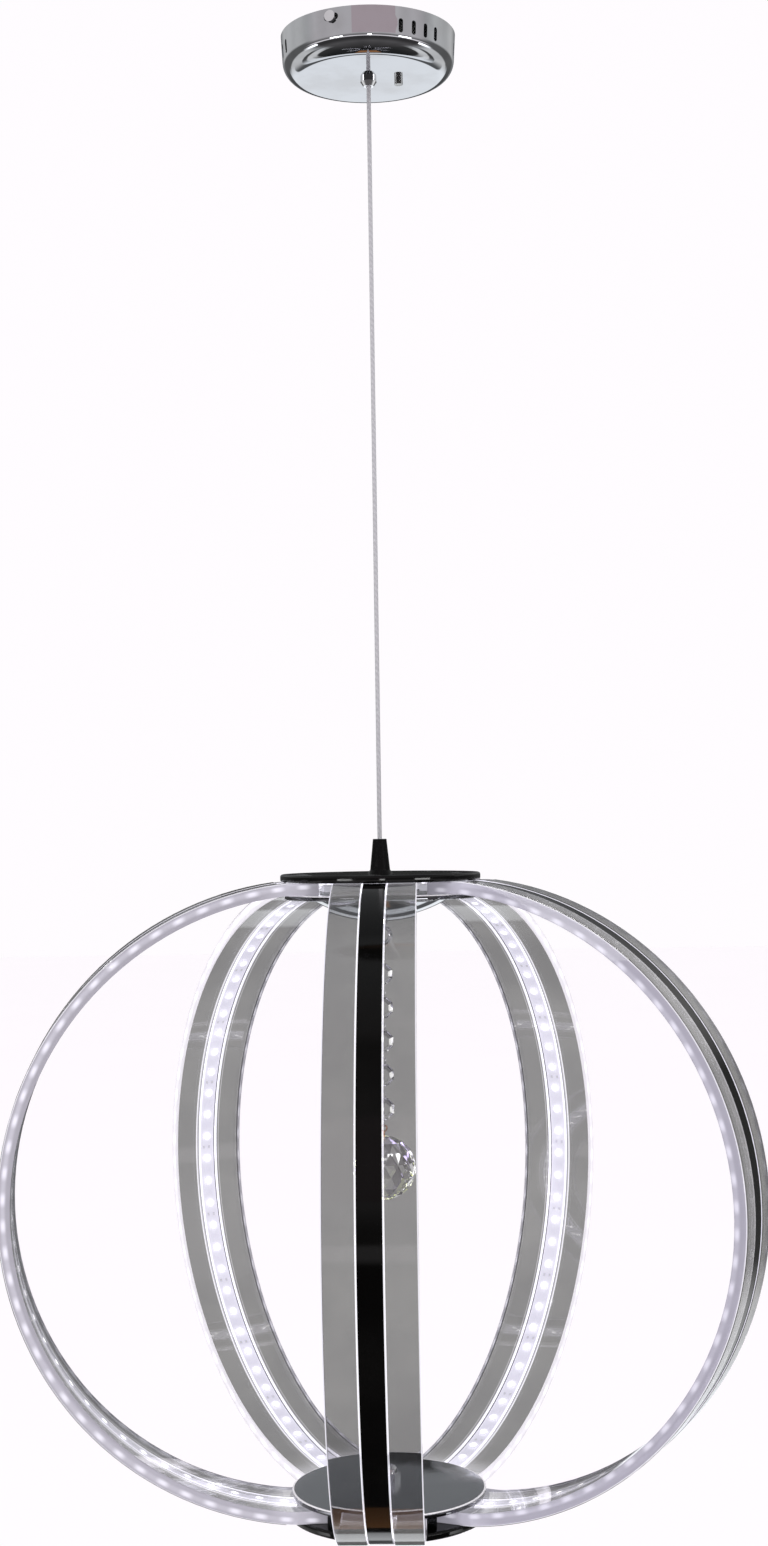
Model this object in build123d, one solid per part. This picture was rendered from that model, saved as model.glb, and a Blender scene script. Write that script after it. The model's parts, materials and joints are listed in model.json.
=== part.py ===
from build123d import *
import os
from math import acos, asin, cos, degrees, floor, radians, sin, sqrt, tan

os.makedirs("parts", exist_ok=True)

# All lengths are millimetres and all angles degrees.
# The origin is the middle of the ceiling face, +Z is up, and -Y is the front.

# Ribs: clear acrylic bands bent to an arc, each turning on one screw at either end
RIB_COUNT = 5
RIB_ARC_R = 205.0
RIB_ARC_CENTRE_R = 45.0
RIB_FLAT_R = 66.0
RIB_BEND_R = 60.0
RIB_END_R = 44.0
RIB_WIDTH = 53.5
RIB_THICK = 8.0
RIB_EDGE_CHAMFER = 0.5
RIB_PLAY = 0.1
FIRST_RIB_AZIMUTH = -3.5
RIB_TURNS = (2.0, -3.3, 9.1, 0.8, -8.3)
PIVOT_R = 53.0
PIVOT_SCREW_R = 2.0
PIVOT_HEAD_R = 4.0
PIVOT_HEAD_DEPTH = 2.2
PIVOT_BITE = 2.4
PIVOT_FIT = 0.08

# Light channel in the outer face of each rib
CHANNEL_START_R = 62.5
GROOVE_WIDTH = 16.0
COVER_WIDTH = 14.4
COVER_THICK = 1.5
COVER_SINK = 0.3
TAPE_WIDTH = 12.0
TAPE_THICK = 0.6
CHIP_SIZE = 5.0
CHIP_THICK = 1.4
CHIP_PITCH = 16.67
CHIP_GAP = 0.05
CHANNEL_END_GAP = 1.0
LEAD_WIDTH = 3.0
LEAD_THICK = 2.0
LEAD_OFFSET = 6.4
LEAD_CLEAR = 0.2
FILM_THICK = 0.3
FILM_GLUE = 0.1
FILM_MARGIN = 0.4

# Hubs: a black plate outside the rib ends and a chrome plate inside them
PLATE_R = 66.0
PLATE_THICK = 5.0
PLATE_EDGE_R = 1.6
INNER_PLATE_R = 63.5
INNER_PLATE_THICK = 3.4
INNER_EDGE_R = 0.8
SPACER_R = 11.0
FIT = 0.1
NIPPLE_R = 5.0
NIPPLE_BORE_R = 2.1
NIPPLE_IN_CONE = 8.0
NIPPLE_BELOW_PLATE = 7.0
NIPPLE_NUT_FLATS = 16.0
NIPPLE_NUT_THICK = 5.0
LEAD_WINDOW_R = 1.5
BOARD_TO_RIBS = 4.0
BOARD_THICK = 1.6
BOARD_HOLE_CLEAR = 1.0
CONNECTOR_LENGTH = 10.0
CONNECTOR_WIDTH = 8.0
CONNECTOR_HEIGHT = 4.5
CONNECTOR_INSET = 1.0
BOLT_R = 3.0
BOLT_HEAD_R = 6.0
BOLT_HEAD_DEPTH = 3.2
CAP_NUT_FLATS = 13.0
CAP_NUT_HEX = 6.0
CAP_NUT_DOME_R = 6.0
BOLT_IN_CAP = 5.0

# Domed cover under the top hub, and the hook that holds it
DOME_R = 46.0
DOME_DEPTH = 13.0
DOME_SHEET = 1.0
HOOK_SHANK_R = 2.0
HOOK_SHANK_IN_NIPPLE = 5.0
HOOK_COLLAR_R = 4.5
HOOK_COLLAR_THICK = 2.5
HOOK_RING_R = 6.0
HOOK_WIRE_R = 1.5
HOOK_SWEEP = 300.0
HOOK_START = -210.0

# Crystal strand
LINK_GAP = 0.3
FIRST_RING_R = 3.4
FIRST_RING_WIRE_R = 0.8
EYE_R = 2.0
EYE_WIRE_R = 0.5
EYE_GAP = 0.1
SMALL_RINGS = 2
BEAD_COUNT = 5
BEAD_FLATS = 14.0
BEAD_GIRDLE = 2.0
BEAD_CROWN = 2.5
BEAD_TAPER = 48.0
BEAD_NECK = 0.2
BEAD_BORE_CLEAR = 0.15
BALL_R = 21.0
BALL_SEGMENTS = 14
BALL_LATITUDES = (76.0, 54.0, 33.0, 11.0, -11.0, -33.0, -54.0, -76.0)
BALL_NECK = 3.5
BALL_PIN_R = 0.8
BALL_PIN_DEPTH = 7.0

# Cable and the black cone that grips it
CABLE_R = 1.4
CABLE_LENGTH = 503.5
CABLE_SEAT_GAP = 0.15
MOUTH_SLOPE = 20.0
CONE_HEIGHT = 22.5
CONE_TOP_R = 4.5
CONE_BASE_R = 6.8
CONE_FOOT_R = 8.2
CONE_FOOT_THICK = 2.0
CONE_PIVOT_DEPTH = 1.5

# Ceiling canopy
CANOPY_R = 58.0
CANOPY_BOTTOM_R = 56.4
CANOPY_HEIGHT = 28.0
CANOPY_CORNER_R = 11.5
CANOPY_SHEET = 1.0
LUG_AZIMUTH = -24.0
VENT_GROUP_TURN = 60.0
VENTS_PER_GROUP = 4
VENT_STEP = 9.4
VENT_WIDTH = 3.0
VENT_HEIGHT = 9.0
VENT_DROP = 12.0
BAYONET_WIDTH = 10.0
BAYONET_HEIGHT = 4.6
BAYONET_DROP = 5.6
SIDE_SCREW_R = 2.0
SIDE_HEAD_R = 3.6
SIDE_HEAD_THICK = 2.2
SIDE_SCREW_PAST_LUG = 3.0
BRACKET_THICK = 1.5
BRACKET_RIM_GAP = 1.6
LUG_WIDTH = 12.0
LUG_HEIGHT = 10.0
CEILING_SLOT_SPACING = 70.0
CEILING_SLOT_LENGTH = 12.0
CEILING_SLOT_WIDTH = 5.0
WIRE_HOLE_R = 8.0
DRIVER_LENGTH = 64.0
DRIVER_WIDTH = 28.0
DRIVER_HEIGHT = 15.0
DRIVER_EDGE_R = 2.0
DRIVER_FROM_AXIS = 13.0
TERMINAL_LENGTH = 24.0
TERMINAL_WIDTH = 16.0
TERMINAL_HEIGHT = 12.0
TERMINAL_POLES = 3
TERMINAL_SCREW_R = 1.8
TERMINAL_SCREW_DEPTH = 3.0
TERMINAL_FROM_AXIS = 12.0
LEAD_R = 1.2
LEAD_BEND_R = 9.0
DRIVER_LEAD_AT = 22.0
LEAD_DROP = 8.0
GLAND_R = 3.8
GLAND_FLANGE_R = 5.4
GLAND_FLANGE_THICK = 2.0
GLAND_MOUTH_R = 3.4
GLAND_DROP = 5.0
GLAND_PIVOT_DEPTH = 1.5
GLAND_NUT_FLATS = 11.0
GLAND_NUT_THICK = 3.5
EARTH_BOLT_R = 2.0
EARTH_HEAD_R = 2.8
EARTH_HEAD_THICK = 4.0
EARTH_NUT_FLATS = 7.0
EARTH_NUT_THICK = 3.0
EARTH_BOLT_PAST_NUT = 1.0
EARTH_BOLT_AT = 20.0

# Heights worked out from the sizes above, from the ceiling down
GLAND_MOUTH_Z = -CANOPY_HEIGHT - GLAND_DROP
SWING_Z = GLAND_MOUTH_Z + GLAND_PIVOT_DEPTH
TILT_Z = SWING_Z - CABLE_LENGTH
CONE_TOP_Z = TILT_Z + CONE_PIVOT_DEPTH
TOP_PLATE_Z = CONE_TOP_Z - CONE_HEIGHT
TOP_RIB_Z = TOP_PLATE_Z - PLATE_THICK - RIB_PLAY
RIB_HALF_HEIGHT = sqrt(RIB_ARC_R**2 - (RIB_FLAT_R - RIB_ARC_CENTRE_R) ** 2)
RIB_MID_Z = TOP_RIB_Z - RIB_HALF_HEIGHT
BOTTOM_RIB_Z = RIB_MID_Z - RIB_HALF_HEIGHT
INNER_PLATE_TOP = -RIB_THICK - RIB_PLAY
INNER_PLATE_BOTTOM = INNER_PLATE_TOP - INNER_PLATE_THICK
DOME_RIM_Z = TOP_RIB_Z + INNER_PLATE_BOTTOM
DOME_FOOT_Z = DOME_RIM_Z - DOME_DEPTH
HOOK_RING_Z = DOME_FOOT_Z - HOOK_COLLAR_THICK - HOOK_WIRE_R - HOOK_RING_R
HOOK_BOTTOM_Z = HOOK_RING_Z - HOOK_RING_R
RIB_STEP = 360.0 / RIB_COUNT
BOARD_R = RIB_END_R - BOARD_TO_RIBS

# Depths of the layers in a rib's light channel, from the rib's outer face
TAPE_DEPTH = COVER_SINK + COVER_THICK
CHIP_DEPTH = TAPE_DEPTH + TAPE_THICK + CHIP_GAP
GROOVE_DEPTH = CHIP_DEPTH + CHIP_THICK + CHIP_GAP
GROOVE_ANGLE = degrees(acos((CHANNEL_START_R - RIB_ARC_CENTRE_R) / RIB_ARC_R))
CHANNEL_ANGLE = GROOVE_ANGLE - degrees(CHANNEL_END_GAP / RIB_ARC_R)
# The bend from a rib's flat end to its arc ends where the two circles touch
BEND_ANGLE = degrees(asin((RIB_HALF_HEIGHT - RIB_BEND_R) / (RIB_ARC_R - RIB_BEND_R)))
FILM_ANGLE = BEND_ANGLE - degrees(FILM_MARGIN / RIB_ARC_R)


FROM_BELOW = (Align.CENTER, Align.CENTER, Align.MIN)
FROM_ABOVE = (Align.CENTER, Align.CENTER, Align.MAX)


def cylinder(radius, low, high):
    """An upright cylinder on the axis between two heights."""
    return Pos(0, 0, low) * Cylinder(radius, high - low, align=FROM_BELOW)


def cone(low_radius, high_radius, low, high):
    """An upright cone on the axis between two heights."""
    return Pos(0, 0, low) * Cone(low_radius, high_radius, high - low, align=FROM_BELOW)


def hexagon(flats, low, high):
    """An upright hexagonal bar on the axis between two heights."""
    return Pos(0, 0, low) * extrude(RegularPolygon(flats / 2, 6, major_radius=False), high - low)


def facing(azimuth):
    """Turns +X to an azimuth counted from the front, positive to the right."""
    return Rot(0, 0, azimuth - 90.0)


def solids_of(pieces):
    """One group of separate solids."""
    return Compound(children=[solid for piece in pieces for solid in piece.solids()])


def save(name, shape):
    export_step(shape, "parts/" + name + ".step")


# Rib shapes, drawn in the XZ plane with the lamp's axis at X = 0


def rib_profile():
    inner_r = RIB_ARC_R - RIB_THICK
    inner_height = RIB_HALF_HEIGHT - RIB_THICK
    inner_flat_r = RIB_ARC_CENTRE_R + sqrt(inner_r**2 - inner_height**2)
    outer_end = (RIB_END_R, RIB_HALF_HEIGHT)
    outer_bend = (RIB_FLAT_R, RIB_HALF_HEIGHT)
    inner_end = (RIB_END_R, inner_height)
    inner_bend = (inner_flat_r, inner_height)
    low = [(x, -z) for x, z in (outer_end, outer_bend, inner_end, inner_bend)]
    edges = [
        Line(outer_end, outer_bend),
        ThreePointArc(outer_bend, (RIB_ARC_CENTRE_R + RIB_ARC_R, 0), low[1]),
        Line(low[1], low[0]),
        Line(low[0], low[2]),
        Line(low[2], low[3]),
        ThreePointArc(low[3], (RIB_ARC_CENTRE_R + inner_r, 0), inner_bend),
        Line(inner_bend, inner_end),
        Line(inner_end, outer_end),
    ]
    face = make_face(edges)
    for corner_x, bend_r in ((RIB_FLAT_R, RIB_BEND_R), (inner_flat_r, RIB_BEND_R - RIB_THICK)):
        bends = [corner for corner in face.vertices() if abs(corner.X - corner_x) < FIT]
        face = fillet(bends, bend_r)
    return Plane.XZ * face


def arc_band(depth, thick, width, half_angle):
    """A curved strip at a depth under the rib's outer face, equally far to both ends."""
    outer_r = RIB_ARC_R - depth
    inner_r = outer_r - thick
    turn_x = cos(radians(half_angle))
    turn_z = sin(radians(half_angle))
    outer_end = (RIB_ARC_CENTRE_R + outer_r * turn_x, outer_r * turn_z)
    inner_end = (RIB_ARC_CENTRE_R + inner_r * turn_x, inner_r * turn_z)
    outer_foot = (outer_end[0], -outer_end[1])
    inner_foot = (inner_end[0], -inner_end[1])
    edges = [
        ThreePointArc(outer_end, (RIB_ARC_CENTRE_R + outer_r, 0), outer_foot),
        Line(outer_foot, inner_foot),
        ThreePointArc(inner_foot, (RIB_ARC_CENTRE_R + inner_r, 0), inner_end),
        Line(inner_end, outer_end),
    ]
    return extrude(Plane.XZ * make_face(edges), width / 2, both=True)


def lead_run(width, depth, clearance):
    """The straight lead along the rib's upper end, beside the pivot screw."""
    length = CHANNEL_START_R - RIB_END_R + CHANNEL_END_GAP + 2 * clearance
    middle_x = RIB_END_R - clearance + length / 2
    bar = Box(length, width, depth, align=FROM_ABOVE)
    return Pos(middle_x, LEAD_OFFSET, RIB_HALF_HEIGHT + clearance) * bar


def make_rib():
    rib = extrude(rib_profile(), RIB_WIDTH / 2, both=True)
    sides = rib.edges().group_by(Axis.Y)
    rib = chamfer(sides[0] + sides[-1], RIB_EDGE_CHAMFER)
    rib -= arc_band(-FILM_THICK, GROOVE_DEPTH + FILM_THICK, GROOVE_WIDTH, GROOVE_ANGLE)
    rib -= lead_run(LEAD_WIDTH + 2 * LEAD_CLEAR, LEAD_THICK + 2 * LEAD_CLEAR, LEAD_CLEAR)
    screw_hole = cylinder(PIVOT_SCREW_R + PIVOT_FIT, -RIB_ARC_R, RIB_ARC_R)
    return rib - Pos(PIVOT_R, 0, 0) * screw_hole


def make_cover():
    return arc_band(COVER_SINK, COVER_THICK, COVER_WIDTH, CHANNEL_ANGLE)


def make_tape():
    lead = Pos(0, 0, -LEAD_CLEAR) * lead_run(LEAD_WIDTH, LEAD_THICK, 0)
    return solids_of([arc_band(TAPE_DEPTH, TAPE_THICK, TAPE_WIDTH, CHANNEL_ANGLE) + lead])


def make_chips():
    chip = Box(CHIP_THICK, CHIP_SIZE, CHIP_SIZE)
    middle_r = RIB_ARC_R - CHIP_DEPTH - CHIP_THICK / 2
    step = degrees(CHIP_PITCH / middle_r)
    free_angle = 2 * CHANNEL_ANGLE - degrees(CHIP_SIZE / middle_r)
    count = floor(free_angle / step) + 1
    first = (count - 1) / 2 * step
    chips = []
    for number in range(count):
        turn = Rot(0, first - step * number, 0)
        chips.append(Pos(RIB_ARC_CENTRE_R, 0, 0) * turn * Pos(middle_r, 0, 0) * chip)
    return solids_of(chips)


def make_film():
    width = (RIB_WIDTH - GROOVE_WIDTH) / 2 - RIB_EDGE_CHAMFER - 2 * FILM_MARGIN
    offset = GROOVE_WIDTH / 2 + FILM_MARGIN + width / 2
    strip = arc_band(-FILM_THICK - FILM_GLUE, FILM_THICK, width, FILM_ANGLE)
    return solids_of([Pos(0, side * offset, 0) * strip for side in (-1, 1)])


def place_on_rib(number, shape):
    turn = RIB_TURNS[number % len(RIB_TURNS)]
    about_screw = Pos(PIVOT_R, 0, 0) * Rot(0, 0, turn) * Pos(-PIVOT_R, 0, RIB_MID_Z)
    return facing(FIRST_RIB_AZIMUTH + number * RIB_STEP) * about_screw * shape


rib_pieces = {
    "acrylic": make_rib(),
    "cover_strip": make_cover(),
    "led_tape": make_tape(),
    "led_chips": make_chips(),
    "smoke_film": make_film(),
}
for number in range(RIB_COUNT):
    for piece_name, piece in rib_pieces.items():
        save("rib_" + str(number + 1) + "_" + piece_name, place_on_rib(number, piece))


# Hub plates, drawn with the ribs' outer face at Z = 0 and outwards as +Z


def at_pivots(shape):
    """A copy of a shape at every rib's pivot."""
    turns = [FIRST_RIB_AZIMUTH + number * RIB_STEP for number in range(RIB_COUNT)]
    return [facing(turn) * Pos(PIVOT_R, 0, 0) * shape for turn in turns]


def make_outer_plate(hole):
    face = RIB_PLAY + PLATE_THICK
    plate = cylinder(PLATE_R, RIB_PLAY, face)
    plate = fillet(plate.edges().filter_by(GeomType.CIRCLE), PLATE_EDGE_R)
    shank = cylinder(PIVOT_SCREW_R + FIT, RIB_PLAY, face)
    head = cone(PIVOT_SCREW_R + FIT, PIVOT_HEAD_R + FIT, face - PIVOT_HEAD_DEPTH, face)
    for sink in at_pivots(shank + head):
        plate -= sink
    return plate - hole


def make_inner_plate(hole):
    plate = cylinder(INNER_PLATE_R, INNER_PLATE_BOTTOM, INNER_PLATE_TOP)
    plate = fillet(plate.edges().filter_by(GeomType.CIRCLE), INNER_EDGE_R)
    socket = cylinder(PIVOT_SCREW_R + FIT, INNER_PLATE_TOP - PIVOT_BITE - FIT, INNER_PLATE_TOP)
    for tapped_hole in at_pivots(socket):
        plate -= tapped_hole
    return plate - hole


def make_pivot_screws():
    face = RIB_PLAY + PLATE_THICK
    shank = cylinder(PIVOT_SCREW_R, INNER_PLATE_TOP - PIVOT_BITE, face - PIVOT_HEAD_DEPTH)
    head = cone(PIVOT_SCREW_R, PIVOT_HEAD_R, face - PIVOT_HEAD_DEPTH, face)
    return solids_of(at_pivots(shank + head))


def make_spacer(bore):
    return cylinder(SPACER_R, INNER_PLATE_TOP, RIB_PLAY) - cylinder(bore, INNER_PLATE_TOP, RIB_PLAY)


def at_top(shape):
    return Pos(0, 0, TOP_RIB_Z) * shape


def at_bottom(shape):
    return Pos(0, 0, BOTTOM_RIB_Z) * mirror(shape, about=Plane.XY)


# Top hub
nipple_hole = cylinder(NIPPLE_R + FIT, INNER_PLATE_BOTTOM, RIB_PLAY + PLATE_THICK)
hub_middle = (INNER_PLATE_TOP + RIB_PLAY) / 2
lead_window = Pos(0, 0, hub_middle) * Rot(0, 90, 0) * cylinder(LEAD_WINDOW_R, 0, SPACER_R)
save("top_plate", at_top(make_outer_plate(nipple_hole)))
save("top_inner_plate", at_top(make_inner_plate(nipple_hole)))
save("top_pivot_screws", at_top(make_pivot_screws()))
save("hub_spacer", at_top(make_spacer(NIPPLE_R + FIT) - lead_window))

board = cylinder(BOARD_R, INNER_PLATE_TOP, INNER_PLATE_TOP + BOARD_THICK)
board_hole = cylinder(SPACER_R + BOARD_HOLE_CLEAR, INNER_PLATE_TOP, INNER_PLATE_TOP + BOARD_THICK)
save("wiring_board", at_top(board - board_hole))

connector_from = (Align.MAX, Align.CENTER, Align.MIN)
connector = Box(CONNECTOR_LENGTH, CONNECTOR_WIDTH, CONNECTOR_HEIGHT, align=connector_from)
connector = chamfer(connector.edges().group_by(Axis.Z)[-1], CONNECTOR_INSET)
connector = Pos(BOARD_R - CONNECTOR_INSET, 0, INNER_PLATE_TOP + BOARD_THICK) * connector
connector_turns = [FIRST_RIB_AZIMUTH + number * RIB_STEP for number in range(RIB_COUNT)]
save("hub_connectors", at_top(solids_of([facing(turn) * connector for turn in connector_turns])))

nipple_top = TOP_PLATE_Z + NIPPLE_IN_CONE
nipple_foot = DOME_RIM_Z - NIPPLE_BELOW_PLATE
nipple = cylinder(NIPPLE_R, nipple_foot, nipple_top) - cylinder(NIPPLE_BORE_R, nipple_foot, nipple_top)
save("hub_nipple", nipple - at_top(lead_window))

nipple_nut = hexagon(NIPPLE_NUT_FLATS, DOME_RIM_Z - NIPPLE_NUT_THICK, DOME_RIM_Z)
save("nipple_nut", nipple_nut - cylinder(NIPPLE_R + FIT, DOME_RIM_Z - NIPPLE_NUT_THICK, DOME_RIM_Z))

# Domed cover: a shallow spun cap hanging from its rim under the chrome plate
dome_ball_r = (DOME_R**2 + DOME_DEPTH**2) / (2 * DOME_DEPTH)
dome_middle = Pos(0, 0, DOME_FOOT_Z + dome_ball_r)
dome_shell = dome_middle * Sphere(dome_ball_r) - dome_middle * Sphere(dome_ball_r - DOME_SHEET)
dome_keep = cylinder(DOME_R, DOME_FOOT_Z, DOME_RIM_Z)
dome_hole = cylinder(HOOK_SHANK_R + FIT, DOME_FOOT_Z, DOME_RIM_Z)
save("dome_cup", (dome_shell & dome_keep) - dome_hole)

# Hook: a shank in the nipple, a collar under the cover and an open ring
collar_foot = DOME_FOOT_Z - HOOK_COLLAR_THICK
shank = cylinder(HOOK_SHANK_R, HOOK_RING_Z + HOOK_RING_R, nipple_foot + HOOK_SHANK_IN_NIPPLE)
collar = cylinder(HOOK_COLLAR_R, collar_foot, DOME_FOOT_Z)
ring = Rot(90, 0, 0) * Rot(0, 0, HOOK_START) * Torus(HOOK_RING_R, HOOK_WIRE_R, major_angle=HOOK_SWEEP)
tip_x = HOOK_RING_R * cos(radians(HOOK_START))
tip_z = HOOK_RING_R * sin(radians(HOOK_START))
tip = Pos(tip_x, 0, tip_z) * Sphere(HOOK_WIRE_R)
save("hook", shank + collar + Pos(0, 0, HOOK_RING_Z) * (ring + tip))

# Bottom hub
bolt_face = RIB_PLAY + PLATE_THICK
bolt_sink = cone(BOLT_R + FIT, BOLT_HEAD_R + FIT, bolt_face - BOLT_HEAD_DEPTH, bolt_face)
bolt_hole = cylinder(BOLT_R + FIT, INNER_PLATE_BOTTOM, bolt_face) + bolt_sink
save("bottom_plate", at_bottom(make_outer_plate(bolt_hole)))
save("bottom_inner_plate", at_bottom(make_inner_plate(bolt_hole)))
save("bottom_pivot_screws", at_bottom(make_pivot_screws()))
save("bottom_spacer", at_bottom(make_spacer(BOLT_R + FIT)))

bolt = cylinder(BOLT_R, INNER_PLATE_BOTTOM - BOLT_IN_CAP, bolt_face - BOLT_HEAD_DEPTH)
bolt_head = cone(BOLT_R, BOLT_HEAD_R, bolt_face - BOLT_HEAD_DEPTH, bolt_face)
save("bottom_bolt", at_bottom(bolt + bolt_head))

cap_foot = INNER_PLATE_BOTTOM - CAP_NUT_HEX
cap_nut = hexagon(CAP_NUT_FLATS, cap_foot, INNER_PLATE_BOTTOM)
cap_nut += Pos(0, 0, cap_foot) * Sphere(CAP_NUT_DOME_R)
cap_nut &= cylinder(CAP_NUT_FLATS, cap_foot - CAP_NUT_DOME_R, INNER_PLATE_BOTTOM)
cap_bore = cylinder(BOLT_R + FIT, INNER_PLATE_BOTTOM - BOLT_IN_CAP - FIT, INNER_PLATE_BOTTOM)
save("cap_nut", at_bottom(cap_nut - cap_bore))


# Crystal strand: rings on the hook, beads on eye pins, and a ball


def flat_ring(radius, wire_r, height):
    """A ring that faces the front."""
    return Pos(0, 0, height) * Rot(90, 0, 0) * Torus(radius, wire_r)


def side_ring(radius, wire_r, height):
    """A ring that faces the side."""
    return Pos(0, 0, height) * Rot(0, 90, 0) * Torus(radius, wire_r)


first_ring_z = HOOK_BOTTOM_Z + HOOK_WIRE_R + LINK_GAP + FIRST_RING_WIRE_R - FIRST_RING_R
first_link = FIRST_RING_R - FIRST_RING_WIRE_R - EYE_WIRE_R - EYE_GAP + EYE_R
eye_link = 2 * (EYE_R - EYE_WIRE_R) - EYE_GAP
small_ring_tops = [first_ring_z - first_link - eye_link * number for number in range(SMALL_RINGS)]
small_ring_makers = (flat_ring, side_ring)
strand_rings = [side_ring(FIRST_RING_R, FIRST_RING_WIRE_R, first_ring_z)]
for number, ring_z in enumerate(small_ring_tops):
    strand_rings.append(small_ring_makers[number % 2](EYE_R, EYE_WIRE_R, ring_z))
save("hook_rings", solids_of(strand_rings))

# Each bead hangs by a front-facing eye and carries the next one on a side-facing eye
bead_eye_at = BEAD_FLATS / 2 + BEAD_NECK + EYE_WIRE_R + EYE_R
bead_pitch = 2 * bead_eye_at + eye_link
first_bead_z = small_ring_tops[-1] - eye_link - bead_eye_at
bead_heights = [first_bead_z - bead_pitch * number for number in range(BEAD_COUNT)]

octagon = RegularPolygon(BEAD_FLATS / 2, 8, major_radius=False, rotation=22.5)
crown = extrude(Plane.XZ.offset(BEAD_GIRDLE / 2) * octagon, BEAD_CROWN, taper=BEAD_TAPER)
bead = extrude(Plane.XZ * octagon, BEAD_GIRDLE / 2, both=True) + crown + mirror(crown, about=Plane.XZ)
bead -= cylinder(EYE_WIRE_R + BEAD_BORE_CLEAR, -BEAD_FLATS, BEAD_FLATS)
bead_pin = cylinder(EYE_WIRE_R, EYE_R - bead_eye_at, bead_eye_at - EYE_R)
bead_pin += flat_ring(EYE_R, EYE_WIRE_R, bead_eye_at) + side_ring(EYE_R, EYE_WIRE_R, -bead_eye_at)
save("crystal_beads", solids_of([Pos(0, 0, height) * bead for height in bead_heights]))
save("bead_pins", solids_of([Pos(0, 0, height) * bead_pin for height in bead_heights]))

ball_eye_z = bead_heights[-1] - bead_eye_at - eye_link
ball_top = ball_eye_z - EYE_R - BALL_NECK
ball_middle = ball_top - BALL_R * sin(radians(BALL_LATITUDES[0]))


def ball_ring(number):
    """One level of the ball's corners, turned half a facet at every second level."""
    latitude = radians(BALL_LATITUDES[number])
    step = 360.0 / BALL_SEGMENTS
    turns = [radians(step * (corner + number % 2 / 2)) for corner in range(BALL_SEGMENTS)]
    level_r = BALL_R * cos(latitude)
    return [(level_r * cos(turn), level_r * sin(turn), BALL_R * sin(latitude)) for turn in turns]


def make_ball():
    rings = [ball_ring(number) for number in range(len(BALL_LATITUDES))]
    corners = [rings[0], rings[-1]]
    for number in range(len(rings) - 1):
        upper = rings[number]
        lower = rings[number + 1]
        for corner in range(BALL_SEGMENTS):
            after = (corner + 1) % BALL_SEGMENTS
            if number % 2 == 0:
                corners.append([upper[corner], lower[corner], upper[after]])
                corners.append([lower[corner], lower[after], upper[after]])
            else:
                corners.append([upper[corner], lower[corner], lower[after]])
                corners.append([upper[corner], lower[after], upper[after]])
    return Solid(Shell([Face(Wire.make_polygon(points, close=True)) for points in corners]))


pin_hole = cylinder(BALL_PIN_R + FIT, ball_top - BALL_PIN_DEPTH - FIT, ball_top)
save("crystal_ball", Pos(0, 0, ball_middle) * make_ball() - pin_hole)
ball_pin = cylinder(BALL_PIN_R, ball_top - BALL_PIN_DEPTH, ball_eye_z - EYE_R)
save("ball_pin", ball_pin + flat_ring(EYE_R, EYE_WIRE_R, ball_eye_z))

# Cable: one straight stretch under load, rounded where it turns in the gland and in the cone
cable = cylinder(CABLE_R, TILT_Z, SWING_Z)
cable += Pos(0, 0, TILT_Z) * Sphere(CABLE_R)
cable += Pos(0, 0, SWING_Z) * Sphere(CABLE_R)
save("hanging_cable", cable)

# The seats clear the rounded cable ends, and their mouths flare for the swing
seat_r = CABLE_R + CABLE_SEAT_GAP
tail_gap = seat_r + FIT
cone_mouth_r = seat_r + CONE_PIVOT_DEPTH * tan(radians(MOUTH_SLOPE))
cone_mouth = cone(seat_r, cone_mouth_r, TILT_Z, CONE_TOP_Z) + Pos(0, 0, TILT_Z) * Sphere(seat_r)
tail_bore = cylinder(CABLE_R + FIT, TOP_PLATE_Z, TILT_Z)
nipple_socket = cylinder(NIPPLE_R + FIT, TOP_PLATE_Z, nipple_top + FIT)
cable_cone = cone(CONE_BASE_R, CONE_TOP_R, TOP_PLATE_Z, CONE_TOP_Z)
cable_cone += cone(CONE_FOOT_R, CONE_BASE_R, TOP_PLATE_Z, TOP_PLATE_Z + CONE_FOOT_THICK)
save("cable_cone", cable_cone - cone_mouth - tail_bore - nipple_socket)
save("cable_tail", cylinder(CABLE_R, TOP_RIB_Z + hub_middle - LEAD_WINDOW_R, TILT_Z - tail_gap))

# Ceiling canopy: a spun cup with vents, hung on a bracket plate by two side screws


def canopy_form(sheet):
    form = cone(CANOPY_BOTTOM_R - sheet, CANOPY_R - sheet, sheet - CANOPY_HEIGHT, 0)
    return fillet(form.edges().group_by(Axis.Z)[0], CANOPY_CORNER_R - sheet)


def wall_slot(azimuth, drop, across, upright):
    """A round-ended slot through the canopy wall."""
    slot = SlotOverall(max(across, upright), min(across, upright), rotation=0 if across > upright else 90)
    wall = extrude(Plane.YZ.offset(CANOPY_BOTTOM_R - CANOPY_CORNER_R) * slot, 2 * CANOPY_CORNER_R)
    return facing(azimuth) * Pos(0, 0, -drop) * wall


canopy = canopy_form(0) - canopy_form(CANOPY_SHEET)
lug_azimuths = (LUG_AZIMUTH, LUG_AZIMUTH + 180.0)
for lug_azimuth in lug_azimuths:
    canopy -= wall_slot(lug_azimuth, BAYONET_DROP, BAYONET_WIDTH, BAYONET_HEIGHT)
    for side in (-1, 1):
        for number in range(VENTS_PER_GROUP):
            vent_turn = side * VENT_GROUP_TURN + (number - (VENTS_PER_GROUP - 1) / 2) * VENT_STEP
            canopy -= wall_slot(lug_azimuth + vent_turn, VENT_DROP, VENT_WIDTH, VENT_HEIGHT)
canopy_floor = CANOPY_SHEET - CANOPY_HEIGHT
canopy -= cylinder(GLAND_R + FIT, -CANOPY_HEIGHT, canopy_floor)
canopy -= Pos(EARTH_BOLT_AT, 0, 0) * cylinder(EARTH_BOLT_R + FIT, -CANOPY_HEIGHT, canopy_floor)
save("canopy_cup", canopy)

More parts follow.
